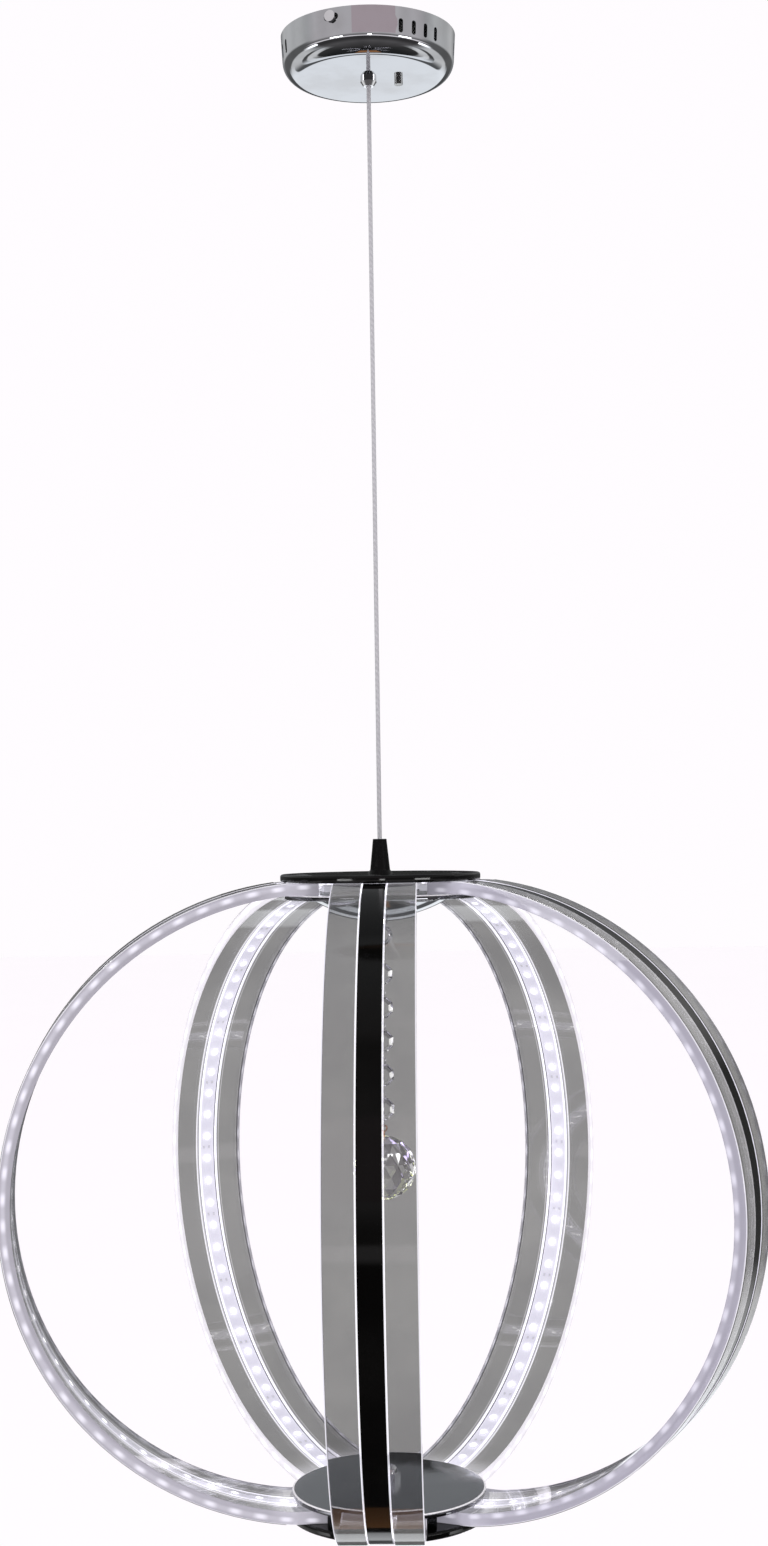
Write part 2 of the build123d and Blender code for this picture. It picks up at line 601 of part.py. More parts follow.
# Bracket plate on the ceiling, with a turned-down lug for each side screw
bracket_r = CANOPY_R - CANOPY_SHEET - BRACKET_RIM_GAP
lug_face = sqrt(bracket_r**2 - (LUG_WIDTH / 2) ** 2)
bracket = cylinder(bracket_r, -BRACKET_THICK, 0) - cylinder(WIRE_HOLE_R, -BRACKET_THICK, 0)
ceiling_slot = extrude(SlotOverall(CEILING_SLOT_LENGTH, CEILING_SLOT_WIDTH), -BRACKET_THICK)
for side in (-1, 1):
    bracket -= Pos(side * CEILING_SLOT_SPACING / 2, 0, 0) * ceiling_slot
lug = Box(BRACKET_THICK, LUG_WIDTH, LUG_HEIGHT, align=(Align.MAX, Align.CENTER, Align.MAX))
lug_hole = Pos(0, 0, -BAYONET_DROP) * Rot(0, 90, 0) * cylinder(SIDE_SCREW_R + FIT, -bracket_r, 0)
for lug_azimuth in lug_azimuths:
    bracket += facing(lug_azimuth) * Pos(lug_face, 0, 0) * (lug - lug_hole)
save("ceiling_bracket", bracket)

wall_lean = (CANOPY_R - CANOPY_BOTTOM_R) / CANOPY_HEIGHT
head_seat = CANOPY_R - wall_lean * (BAYONET_DROP - SIDE_HEAD_R)
side_screw = cylinder(SIDE_SCREW_R, lug_face - BRACKET_THICK - SIDE_SCREW_PAST_LUG, head_seat)
side_screw += cylinder(SIDE_HEAD_R, head_seat, head_seat + SIDE_HEAD_THICK)
side_screw = Pos(0, 0, -BAYONET_DROP) * Rot(0, 90, 0) * side_screw
save("side_screws", solids_of([facing(lug_azimuth) * side_screw for lug_azimuth in lug_azimuths]))

# Power supply and terminals under the bracket plate
driver = Box(DRIVER_LENGTH, DRIVER_WIDTH, DRIVER_HEIGHT, align=(Align.CENTER, Align.MIN, Align.MAX))
driver = fillet(driver.edges(), DRIVER_EDGE_R)
save("led_driver", Pos(0, DRIVER_FROM_AXIS, -BRACKET_THICK) * driver)

terminal = Box(TERMINAL_LENGTH, TERMINAL_WIDTH, TERMINAL_HEIGHT, align=(Align.CENTER, Align.MAX, Align.MAX))
terminal_step = TERMINAL_LENGTH / TERMINAL_POLES
terminal_hole = cylinder(TERMINAL_SCREW_R, -TERMINAL_HEIGHT, TERMINAL_SCREW_DEPTH - TERMINAL_HEIGHT)
for number in range(TERMINAL_POLES):
    hole_x = (number - (TERMINAL_POLES - 1) / 2) * terminal_step
    terminal -= Pos(hole_x, -TERMINAL_WIDTH / 2, 0) * terminal_hole
save("terminal_block", Pos(0, -TERMINAL_FROM_AXIS, -BRACKET_THICK) * terminal)


def bent_lead(points, radius):
    """A lead along straight runs with round bends."""
    path = FilletPolyline(*points, radius=LEAD_BEND_R)
    return sweep(Plane(origin=path @ 0, z_dir=path % 0) * Circle(radius), path=path)


lead_z = -BRACKET_THICK - LEAD_DROP
entry_foot = SWING_Z + tail_gap
entry_points = [(0, 0, entry_foot), (0, 0, lead_z), (0, -TERMINAL_FROM_AXIS, lead_z)]
save("cable_entry", bent_lead(entry_points, CABLE_R))
lead_end_y = -TERMINAL_FROM_AXIS - TERMINAL_WIDTH / 2
lead_points = [
    (-DRIVER_LEAD_AT, DRIVER_FROM_AXIS, lead_z),
    (-DRIVER_LEAD_AT, lead_end_y, lead_z),
    (-TERMINAL_LENGTH / 2, lead_end_y, lead_z),
]
save("driver_lead", bent_lead(lead_points, LEAD_R))

# Gland in the middle of the canopy's underside
gland = cylinder(GLAND_R, -CANOPY_HEIGHT, canopy_floor + GLAND_NUT_THICK)
gland += cylinder(GLAND_FLANGE_R, -CANOPY_HEIGHT - GLAND_FLANGE_THICK, -CANOPY_HEIGHT)
gland += cone(GLAND_MOUTH_R, GLAND_FLANGE_R, GLAND_MOUTH_Z, -CANOPY_HEIGHT - GLAND_FLANGE_THICK)
gland_mouth_r = seat_r + GLAND_PIVOT_DEPTH * tan(radians(MOUTH_SLOPE))
gland -= cone(gland_mouth_r, seat_r, GLAND_MOUTH_Z, SWING_Z)
gland -= Pos(0, 0, SWING_Z) * Sphere(seat_r)
gland -= cylinder(CABLE_R + FIT, SWING_Z, canopy_floor + GLAND_NUT_THICK)
save("cable_gland", gland)
gland_nut = hexagon(GLAND_NUT_FLATS, canopy_floor, canopy_floor + GLAND_NUT_THICK)
save("gland_nut", gland_nut - cylinder(GLAND_R + FIT, canopy_floor, canopy_floor + GLAND_NUT_THICK))

# Earth bolt through the canopy's underside, with its nut inside
earth_top = canopy_floor + EARTH_NUT_THICK + EARTH_BOLT_PAST_NUT
earth_bolt = cylinder(EARTH_BOLT_R, -CANOPY_HEIGHT, earth_top)
earth_bolt += cylinder(EARTH_HEAD_R, -CANOPY_HEIGHT - EARTH_HEAD_THICK, -CANOPY_HEIGHT)
earth_nut = hexagon(EARTH_NUT_FLATS, canopy_floor, canopy_floor + EARTH_NUT_THICK)
earth_nut -= cylinder(EARTH_BOLT_R + FIT, canopy_floor, canopy_floor + EARTH_NUT_THICK)
save("earth_bolt", solids_of([Pos(EARTH_BOLT_AT, 0, 0) * piece for piece in (earth_bolt, earth_nut)]))

print("swing pivot height", SWING_Z)
print("tilt pivot height", TILT_Z)
print("rib middle height", RIB_MID_Z)
print("hook wire height", HOOK_BOTTOM_Z)
print("first bead height", bead_heights[0], "pitch", bead_pitch)
print("ball middle height", ball_middle)
print("lowest height", BOTTOM_RIB_Z - RIB_PLAY - PLATE_THICK)
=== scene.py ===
import json
import math

import bpy
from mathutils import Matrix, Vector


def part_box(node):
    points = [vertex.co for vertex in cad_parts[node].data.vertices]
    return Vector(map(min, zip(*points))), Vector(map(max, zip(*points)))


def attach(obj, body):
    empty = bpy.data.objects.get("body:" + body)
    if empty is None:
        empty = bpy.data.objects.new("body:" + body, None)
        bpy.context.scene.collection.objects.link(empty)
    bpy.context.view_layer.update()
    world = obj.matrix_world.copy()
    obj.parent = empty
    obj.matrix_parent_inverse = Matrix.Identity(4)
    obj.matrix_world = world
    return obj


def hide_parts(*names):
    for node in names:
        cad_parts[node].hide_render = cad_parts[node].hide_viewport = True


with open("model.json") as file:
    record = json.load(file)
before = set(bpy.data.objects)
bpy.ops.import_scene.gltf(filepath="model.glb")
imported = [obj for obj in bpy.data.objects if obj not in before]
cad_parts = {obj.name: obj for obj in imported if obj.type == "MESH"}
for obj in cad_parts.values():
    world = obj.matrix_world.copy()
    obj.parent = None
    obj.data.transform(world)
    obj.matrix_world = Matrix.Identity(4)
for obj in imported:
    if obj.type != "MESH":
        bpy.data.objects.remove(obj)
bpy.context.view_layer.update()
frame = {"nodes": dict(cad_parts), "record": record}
cad = frame["nodes"]
scene = bpy.context.scene
bpy.ops.object.select_all(action="DESELECT")
print("frame loaded,", len(cad), "nodes")

# camera: just above the top hub, tipped up a little, a touch of roll
viewpoint = {
    "place": (0.0030, -1.420, -0.5230), "tip": 1.33, "roll": 0.85,
    "lens": 50.06, "sensor": 36.0, "reach": 200.0,
}


def addCamera(view):
    turn = (math.radians(90 + view["tip"]), math.radians(view["roll"]), 0)
    bpy.ops.object.camera_add(location=view["place"], rotation=turn)
    camera = bpy.context.object
    camera.name = "photoCamera"
    camera.data.lens = view["lens"]
    camera.data.sensor_width = view["sensor"]
    camera.data.clip_end = view["reach"]
    scene.camera = camera


addCamera(viewpoint)
print("camera placed")

# hanging cable, straight under the lamp's weight from gland to cone
cableSizes = {
    "route": [(0, 0, -0.0315), (0, 0, -0.0483), (0, 0, -0.5182), (0, 0, -0.5350)],
    "radius": 0.0014, "length": 0.5035, "steps": 16, "roundness": 5,
}


def layCable(sizes):
    line = bpy.data.curves.new("pendantCable", "CURVE")
    line.dimensions = "3D"
    spline = line.splines.new("NURBS")
    spline.points.add(len(sizes["route"]) - 1)
    for point, place in zip(spline.points, sizes["route"]):
        point.co = (*place, 1.0)
        point.radius = sizes["radius"]
    spline.order_u = 3
    spline.use_endpoint_u = True
    spline.resolution_u = sizes["steps"]
    line.bevel_depth = 1.0  # each point carries the cable's radius
    line.bevel_resolution = sizes["roundness"]
    line.use_fill_caps = True
    cable = bpy.data.objects.new("pendantCable", line)
    scene.collection.objects.link(cable)
    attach(cable, "cable")
    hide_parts("hanging_cable")
    return cable


cable = layCable(cableSizes)
print("cable laid")


# small helpers for node trees
def addNode(tree, kind, **settings):
    made = tree.nodes.new(kind)
    for key, value in settings.items():
        setattr(made, key, value)
    return made


def feed(tree, socket, value):
    if isinstance(value, bpy.types.NodeSocket):
        tree.links.new(value, socket)
    else:
        socket.default_value = value


def calc(tree, operation, *values, clamp=False):
    made = addNode(tree, "ShaderNodeMath", operation=operation, use_clamp=clamp)
    for socket, value in zip(made.inputs, values):
        feed(tree, socket, value)
    return made.outputs[0]


def plus(tree, first, second):
    return calc(tree, "ADD", first, second)


def minus(tree, first, second):
    return calc(tree, "SUBTRACT", first, second)


def times(tree, first, second):
    return calc(tree, "MULTIPLY", first, second)


def over(tree, value, limit):
    return calc(tree, "GREATER_THAN", value, limit)


def under(tree, value, limit):
    return calc(tree, "LESS_THAN", value, limit)


def between(tree, value, low, high):
    return times(tree, over(tree, value, low), under(tree, value, high))


def magnitude(tree, value):
    return calc(tree, "ABSOLUTE", value)


def distance(tree, first, second):
    return calc(tree, "SQRT", plus(tree, times(tree, first, first), times(tree, second, second)))


def stretch(tree, value, span, reach=(0.0, 1.0), soft=False):
    made = addNode(tree, "ShaderNodeMapRange", interpolation_type="SMOOTHSTEP" if soft else "LINEAR")
    labels = ("Value", "From Min", "From Max", "To Min", "To Max")
    for label, given in zip(labels, (value, *span, *reach)):
        feed(tree, made.inputs[label], given)
    return made.outputs["Result"]


def mixColour(tree, share, first, second):
    made = addNode(tree, "ShaderNodeMix", data_type="RGBA")
    feed(tree, made.inputs[0], share)
    feed(tree, made.inputs[6], first)  # the mix node's two colour inputs are its seventh and eighth
    feed(tree, made.inputs[7], second)
    return made.outputs[2]


def noise(tree, point, scale, detail=2.0, roughness=0.5):
    made = addNode(tree, "ShaderNodeTexNoise")
    feed(tree, made.inputs["Vector"], point)
    feed(tree, made.inputs["Scale"], scale)
    made.inputs["Detail"].default_value = detail
    made.inputs["Roughness"].default_value = roughness
    return made.outputs["Fac"]


def splitVector(tree, vector):
    parts = addNode(tree, "ShaderNodeSeparateXYZ")
    feed(tree, parts.inputs[0], vector)
    return parts.outputs


def newGroup(name, takes, gives):
    group = bpy.data.node_groups.new(name, "ShaderNodeTree")
    for label, kind, start in takes:
        socket = group.interface.new_socket(label, in_out="INPUT", socket_type="NodeSocket" + kind)
        if start is not None:
            socket.default_value = start
    for label, kind in gives:
        group.interface.new_socket(label, in_out="OUTPUT", socket_type="NodeSocket" + kind)
    return group, addNode(group, "NodeGroupInput"), addNode(group, "NodeGroupOutput")


# soft smudges, hairlines and grain that every handled surface carries
wearSizes = {
    "size": 30.0, "upright": (1.0, 1.0, 0.08),
    "smudge": (0.38, 0.72), "smudgeDetail": 4.0, "smudgeRoughness": 0.6,
    "hairline": (0.60, 0.74), "hairlineScale": 22.0, "hairlineDetail": 3.0,
    "grainScale": 40.0, "grainDetail": 1.0,
}


def buildWear(sizes):
    takes = [("Point", "Vector", None), ("Size", "Float", sizes["size"]),
             ("Squeeze", "Vector", sizes["upright"])]
    gives = [("Smudge", "Float"), ("Hairline", "Float"), ("Grain", "Float")]
    group, given, made = newGroup("surfaceWear", takes, gives)
    point, scale = given.outputs["Point"], given.outputs["Size"]
    squeezed = addNode(group, "ShaderNodeVectorMath", operation="MULTIPLY")
    feed(group, squeezed.inputs[0], point)
    feed(group, squeezed.inputs[1], given.outputs["Squeeze"])
    smudge = noise(group, point, scale, sizes["smudgeDetail"], sizes["smudgeRoughness"])
    fine = times(group, scale, sizes["hairlineScale"])
    hairline = noise(group, squeezed.outputs[0], fine, sizes["hairlineDetail"])
    grain = noise(group, point, times(group, scale, sizes["grainScale"]), sizes["grainDetail"])
    feed(group, made.inputs["Smudge"], stretch(group, smudge, sizes["smudge"], soft=True))
    feed(group, made.inputs["Hairline"], stretch(group, hairline, sizes["hairline"]))
    feed(group, made.inputs["Grain"], grain)
    return group


# place on a rib in millimetres: across from the middle, depth from the outer face, nearness to a chip
ribSizes = {
    "firstAzimuth": -3.5, "step": 72.0, "turns": (2.0, -3.3, 9.1, 0.8, -8.3), "pivotRadius": 0.053,
    "arcCentre": 45.0, "arcRadius": 205.0, "chipRadius": 201.85, "chipPitch": 16.67, "chipsPerJoint": 3,
    "millimetre": 0.001,
}


def buildRibPlace(sizes):
    gives = [(label, "Float") for label in ("Across", "Depth", "Rise", "Along", "Chip", "Joint")]
    group, given, made = newGroup("ribPlace", [("Point", "Vector", None)], gives)
    x, y, z = splitVector(group, given.outputs["Point"])
    out = minus(group, x, sizes["arcCentre"])
    reach = distance(group, out, z)
    angle = calc(group, "ARCTAN2", z, out)
    across = magnitude(group, y)
    pitch = sizes["chipPitch"]
    step = pitch / sizes["chipRadius"]
    phase = minus(group, calc(group, "FRACT", calc(group, "DIVIDE", angle, step)), 0.5)
    beside = times(group, phase, pitch)
    count = sizes["chipsPerJoint"]
    turn = calc(group, "FRACT", plus(group, calc(group, "DIVIDE", angle, count * step), 0.5))
    joint = magnitude(group, minus(group, turn, 0.5))
    feed(group, made.inputs["Across"], across)
    feed(group, made.inputs["Depth"], minus(group, sizes["arcRadius"], reach))
    feed(group, made.inputs["Rise"], calc(group, "DEGREES", angle))
    feed(group, made.inputs["Along"], magnitude(group, beside))
    feed(group, made.inputs["Chip"], distance(group, beside, across))
    feed(group, made.inputs["Joint"], times(group, joint, count * pitch))
    return group


wearGroup = buildWear(wearSizes)
ribGroup = buildRibPlace(ribSizes)
ribMiddle = sum(corner.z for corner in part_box("rib_1_acrylic")) / 2


def newFinish(name, **constants):
    material = bpy.data.materials.new(name)
    material.use_nodes = True
    tree = material.node_tree
    tree.nodes.clear()
    shader = addNode(tree, "ShaderNodeBsdfPrincipled")
    output = addNode(tree, "ShaderNodeOutputMaterial")
    tree.links.new(shader.outputs[0], output.inputs[0])
    for label, value in constants.items():
        shader.inputs[label.replace("_", " ")].default_value = value
    return material, tree, shader


def objectPoint(tree):
    return addNode(tree, "ShaderNodeTexCoord").outputs["Object"]


def addWear(tree, scale, squeeze=wearSizes["upright"]):
    made = addNode(tree, "ShaderNodeGroup", node_tree=wearGroup)
    feed(tree, made.inputs["Point"], objectPoint(tree))
    made.inputs["Size"].default_value = scale
    made.inputs["Squeeze"].default_value = squeeze
    return made.outputs


def addRibPlace(tree, number):
    azimuth = math.radians(ribSizes["firstAzimuth"] + ribSizes["step"] * number)
    outward = azimuth + math.radians(ribSizes["turns"][number])
    radius = ribSizes["pivotRadius"]
    originX = radius * (math.sin(azimuth) - math.sin(outward))
    originY = radius * (math.cos(outward) - math.cos(azimuth))
    turned = addNode(tree, "ShaderNodeMapping", vector_type="TEXTURE")
    feed(tree, turned.inputs["Vector"], objectPoint(tree))
    turned.inputs["Location"].default_value = (originX, originY, ribMiddle)
    turned.inputs["Rotation"].default_value = (0, 0, outward - math.pi / 2)
    turned.inputs["Scale"].default_value = [ribSizes["millimetre"]] * 3
    made = addNode(tree, "ShaderNodeGroup", node_tree=ribGroup)
    tree.links.new(turned.outputs[0], made.inputs["Point"])
    return made.outputs


def addBump(tree, shader, height, bump):
    made = addNode(tree, "ShaderNodeBump")
    made.inputs["Strength"].default_value = bump["strength"]
    made.inputs["Distance"].default_value = bump["distance"]
    feed(tree, made.inputs["Height"], height)
    tree.links.new(made.outputs[0], shader.inputs["Normal"])


def paint(tree, shader, share, first, second):
    feed(tree, shader.inputs["Base Color"], mixColour(tree, share, first, second))


def roughen(tree, shader, value, span, reach):
    feed(tree, shader.inputs["Roughness"], stretch(tree, value, span, reach))


def keepOffLamps(material):
    material.cycles.emission_sampling = "NONE"


def dress(name, material):
    data = cad[name].data
    data.materials.clear()
    data.materials.append(material)


full = (0.0, 1.0)
middling = (0.3, 0.7)
black = (0, 0, 0, 1)

# clear acrylic with a painted glow for the chips' light: its sides glow lavender with a white line level with
# the chips, its channel walls are painted bright, and each rib's sides and bevels carry painted light and
# shade
acrylicLook = {
    "clear": (0.97, 0.97, 0.99, 1), "paintedGlow": (0.93, 0.91, 1.0, 1), "rim": (0.30, 0.30, 0.31, 1),
    "edges": [(0.62, 0.60, 0.66, 1), (0.43, 0.42, 0.49, 1), (0.92, 0.91, 0.95, 1), (0.92, 0.91, 0.95, 1),
              (0.44, 0.43, 0.48, 1)],
    "bevels": [0.6, 0.6, 0.0, 0.0, 0.5],
    "lineDepths": [3.4, 6.2, 3.4, 3.4, 3.4], "lineLights": [0.5, 0.40, 0.5, 0.5, 0.5],
    "wear": 14.0, "rough": (0.0, 0.02), "shine": 0.1,
    "bevelDepth": 0.55, "sideFrom": 26.1, "sideClear": 0.1, "chipDepth": 3.4,
    "wall": (7.6, 8.15), "wallTop": 1.2, "wallLight": (0.7, 0.3), "grooveHalf": 0.9,
    "spill": (5.2, 6.2), "spillLight": 0.6, "halo": (1.6, 3.8), "haloLight": 0.4,
    "lineWidth": (0.4, 2.6), "blob": (0.6, 6.0), "blobLight": (1.0, 0.25),
    "ends": (78.0, 84.0), "endLight": 0.12,
}


def paintedAcrylicGlow(tree, number, look, place, side, bevel):
    across, depth = place["Across"], place["Depth"]
    fade = stretch(tree, depth, (look["wallTop"], look["chipDepth"]), look["wallLight"])
    wallLight = times(tree, between(tree, across, *look["wall"]), fade)
    groove = times(tree, under(tree, across, look["wall"][0]),
                   calc(tree, "COMPARE", depth, look["chipDepth"], look["grooveHalf"]))
    spill = plus(tree, stretch(tree, across, look["spill"], (0.0, look["spillLight"]), soft=True),
                 stretch(tree, place["Chip"], look["halo"], (look["haloLight"], 0.0), soft=True))
    level = magnitude(tree, minus(tree, depth, look["lineDepths"][number]))
    blob = stretch(tree, place["Along"], look["blob"], look["blobLight"], soft=True)
    core = stretch(tree, level, look["lineWidth"], (look["lineLights"][number], 0.0), soft=True)
    line = times(tree, core, blob)
    bevelLight = times(tree, bevel, look["bevels"][number])
    sideLight = times(tree, side, calc(tree, "MAXIMUM", line, bevelLight))
    endLight = stretch(tree, magnitude(tree, place["Rise"]), look["ends"], (0.0, look["endLight"]), soft=True)
    inner = plus(tree, wallLight, times(tree, groove, spill))
    return plus(tree, inner, calc(tree, "MAXIMUM", sideLight, endLight))


def acrylicFinish(number, look):
    name = "acrylic_%d" % (number + 1)
    material, tree, shader = newFinish(name, IOR=1.49, Specular_IOR_Level=look["shine"],
                                       Emission_Strength=1.0)
    place = addRibPlace(tree, number)
    wear = addWear(tree, look["wear"])
    side = over(tree, place["Across"], look["sideFrom"])
    bevel = under(tree, place["Depth"], look["bevelDepth"])
    feed(tree, shader.inputs["Transmission Weight"], stretch(tree, side, full, (1.0, look["sideClear"])))
    # side faces are painted lit and shaded, one tone per rib, and the bevels get painted shade from rim
    edge = mixColour(tree, bevel, look["edges"][number], look["rim"])
    paint(tree, shader, side, look["clear"], edge)
    roughen(tree, shader, wear["Smudge"], full, look["rough"])
    light = paintedAcrylicGlow(tree, number, look, place, side, bevel)
    # emission: painted glow of the chips' light in the channel, along the side line and at the rib ends
    feed(tree, shader.inputs["Emission Color"], mixColour(tree, light, black, look["paintedGlow"]))
    keepOffLamps(material)
    return material


# grey film: see-through, wiped in faint upright streaks
filmLook = {
    "thin": (0.75, 0.745, 0.735, 1), "thick": (0.66, 0.655, 0.655, 1),
    "wear": 16.0, "streaks": (1.0, 1.0, 0.12), "cloudy": 0.02, "smear": (0.0, 0.02), "shine": 0.06,
}


def filmFinish(look):
    material, tree, shader = newFinish("smokeFilm", IOR=1.45, Specular_IOR_Level=look["shine"],
                                       Transmission_Weight=1.0)
    wear = addWear(tree, look["wear"], look["streaks"])
    paint(tree, shader, wear["Smudge"], look["thick"], look["thin"])
    cloudy = times(tree, wear["Hairline"], look["cloudy"])
    smear = stretch(tree, wear["Smudge"], full, look["smear"])
    feed(tree, shader.inputs["Roughness"], plus(tree, cloudy, smear))
    return material


# flexible white circuit: tinned pads at the joint of every three chips, and a painted glow of the chips'
# light, brightest near each chip, fainter further off and dim on the pads
tapeLook = {
    "paper": (0.40, 0.39, 0.42, 1), "shade": (0.36, 0.35, 0.38, 1), "pad": (0.30, 0.28, 0.27, 1),
    "paintedGlow": (0.76, 0.74, 0.83, 1), "far": (0.70, 0.68, 0.78, 1), "dim": (0.56, 0.55, 0.60, 1),
    "wear": 40.0, "rough": (0.35, 0.6), "padLength": 1.1, "padPlace": 2.2, "padHalf": 0.9, "near": (2.5, 8.0),
}


def tapeFinish(number, look):
    material, tree, shader = newFinish("ledTape_%d" % (number + 1), Emission_Strength=1.0)
    place = addRibPlace(tree, number)
    wear = addWear(tree, look["wear"])
    ground = mixColour(tree, wear["Smudge"], look["paper"], look["shade"])
    aside = magnitude(tree, minus(tree, place["Across"], look["padPlace"]))
    pads = times(tree, under(tree, place["Joint"], look["padLength"]), under(tree, aside, look["padHalf"]))
    paint(tree, shader, pads, ground, look["pad"])
    roughen(tree, shader, wear["Grain"], middling, look["rough"])
    # painted pool of chip light round each chip
    near = stretch(tree, place["Chip"], look["near"], (1.0, 0.0), soft=True)
    lit = mixColour(tree, near, look["far"], look["paintedGlow"])
    feed(tree, shader.inputs["Emission Color"], mixColour(tree, pads, lit, look["dim"]))
    keepOffLamps(material)
    return material


# lit chips: a round phosphor in a white square housing
chipLook = {
    "housing": (0.50, 0.50, 0.53, 1), "phosphor": (0.95, 0.90, 0.70, 1),
    "rim": (0.26, 0.255, 0.29, 1), "core": (1.0, 0.98, 1.0, 1),
    "round": (1.5, 2.5), "light": 2.6, "rough": 0.25,
}


def chipFinish(number, look):
    material, tree, shader = newFinish("ledChip_%d" % (number + 1), Emission_Strength=look["light"],
                                       Roughness=look["rough"])
    place = addRibPlace(tree, number)
    core = stretch(tree, place["Chip"], look["round"], (1.0, 0.0), soft=True)
    paint(tree, shader, core, look["housing"], look["phosphor"])
    feed(tree, shader.inputs["Emission Color"], mixColour(tree, core, look["rim"], look["core"]))
    keepOffLamps(material)
    return material


# gloss black on the cover strips and the two hub plates
blackLook = {"deep": (0.0015, 0.0014, 0.0013, 1), "dusty": (0.004, 0.0038, 0.0036, 1), "rough": (0.05, 0.11),
             "scratch": 0.08}
coverLook = {**blackLook, "wear": 20.0, "shine": 0.14}
plateLook = {**blackLook, "wear": 30.0, "shine": 0.28}


def wornRoughness(tree, wear, look):
    rubbed = stretch(tree, wear["Smudge"], full, look["rough"])
    return plus(tree, rubbed, times(tree, wear["Hairline"], look["scratch"]))


def blackGlossFinish(name, look):
    material, tree, shader = newFinish(name, IOR=1.5, Specular_IOR_Level=look["shine"])
    wear = addWear(tree, look["wear"])
    dust = times(tree, wear["Smudge"], wear["Grain"])
    paint(tree, shader, dust, look["deep"], look["dusty"])
    feed(tree, shader.inputs["Roughness"], wornRoughness(tree, wear, look))
    return material


# mirror chrome: cool on the large sheets, satin on the lower plate, brighter on the small turned fittings
chromeLook = {"bright": (0.60, 0.615, 0.64, 1), "tarnish": (0.52, 0.525, 0.54, 1), "rough": (0.012, 0.04),
              "wear": 26.0, "scratch": 0.03}
# the satin plates carry painted shade on their sides and a painted highlight line on their upper edge
satinLook = {**chromeLook, "tarnish": (0.56, 0.57, 0.60, 1), "rough": (0.15, 0.19),
             "side": {"depth": 0.0002, "tone": (0.12, 0.12, 0.13, 1), "rough": 0.02},
             "line": {"width": 0.0012, "drop": 0.0006, "tone": (0.95, 0.94, 0.97, 1), "rough": 0.3}}
hubLook = {**satinLook, "rough": (0.012, 0.04)}
fittingLook = {**chromeLook, "bright": (0.92, 0.93, 0.95, 1), "tarnish": (0.80, 0.80, 0.82, 1)}
fittings = ["hook", "hook_rings", "bead_pins", "cap_nut", "cable_gland", "side_screws"]


def chromeFinish(name, look):
    material, tree, shader = newFinish(name, Metallic=1.0)
    wear = addWear(tree, look["wear"])
    paint(tree, shader, wear["Smudge"], look["bright"], look["tarnish"])
    feed(tree, shader.inputs["Roughness"], wornRoughness(tree, wear, look))
    return material


# inner plates: a polished side with painted shade, and a bright painted highlight line along the upper edge
def satinFinish(name, look, low, high):
    material, tree, shader = newFinish(name)
    wear = addWear(tree, look["wear"])
    radius = (high.x - low.x) / 2
    x, y, z = splitVector(tree, objectPoint(tree))
    out = distance(tree, x, y)
    paintedDarkSide, paintedHighlight = look["side"], look["line"]
    side = over(tree, out, radius - paintedDarkSide["depth"])
    line = times(tree, over(tree, out, radius - paintedHighlight["width"]), over(tree, z, high.z - paintedHighlight["drop"]))
    face = mixColour(tree, wear["Smudge"], look["bright"], look["tarnish"])
    paint(tree, shader, line, mixColour(tree, side, face, paintedDarkSide["tone"]), paintedHighlight["tone"])
    feed(tree, shader.inputs["Metallic"], minus(tree, 1.0, line))
    turned = stretch(tree, side, full, (wornRoughness(tree, wear, look), paintedDarkSide["rough"]))
    roughen(tree, shader, line, full, (turned, paintedHighlight["rough"]))
    return material


# zinc plated steel with a fine drawn grain
steelLook = {"bright": (0.56, 0.56, 0.55, 1), "dull": (0.40, 0.40, 0.40, 1), "rough": (0.22, 0.38),
             "wear": 60.0, "drawn": (0.15, 1.0, 1.0), "bump": {"strength": 0.15, "distance": 0.0001}}


def steelFinish(look):
    material, tree, shader = newFinish("zincSteel", Metallic=1.0)
    wear = addWear(tree, look["wear"], look["drawn"])
    paint(tree, shader, wear["Smudge"], look["bright"], look["dull"])
    roughen(tree, shader, wear["Hairline"], full, look["rough"])
    addBump(tree, shader, wear["Grain"], look["bump"])
    return material


# mouldings: a fine spark texture in the plastic, and the hub's connectors carry a painted glow of the chips'
# light
mouldingLook = {"wear": 50.0, "paintedGlow": 0.0, "bump": {"strength": 0.12, "distance": 0.0002}}
coneLook = {**mouldingLook, "low": (0.002, 0.002, 0.002, 1), "high": (0.005, 0.005, 0.005, 1),
            "rough": (0.2, 0.32), "shine": 0.12}
whiteLook = {**mouldingLook, "low": (0.76, 0.76, 0.74, 1), "high": (0.84, 0.84, 0.82, 1),
             "rough": (0.42, 0.58), "shine": 0.5}
# connectors: pale lavender with a painted glow of the chips' light
connectorLook = {**mouldingLook, "low": (0.70, 0.69, 0.76, 1), "high": (0.76, 0.75, 0.82, 1),
                 "rough": (0.42, 0.58), "shine": 0.2, "paintedGlow": 0.45}


def mouldingFinish(name, look):
    material, tree, shader = newFinish(name, IOR=1.5, Specular_IOR_Level=look["shine"],
                                       Emission_Color=look["high"], Emission_Strength=look["paintedGlow"])
    wear = addWear(tree, look["wear"])
    paint(tree, shader, wear["Smudge"], look["low"], look["high"])
    roughen(tree, shader, wear["Grain"], middling, look["rough"])
    addBump(tree, shader, wear["Grain"], look["bump"])
    keepOffLamps(material)
    return material


# pale cable jacket with the twisted cores showing through
cableLook = {"jacket": (0.50, 0.50, 0.52, 1), "core": (0.36, 0.36, 0.38, 1), "twist": 160.0, "shown": 0.5,
             "wear": 90.0, "rough": (0.2, 0.34), "coat": 0.6, "coatRough": 0.08}


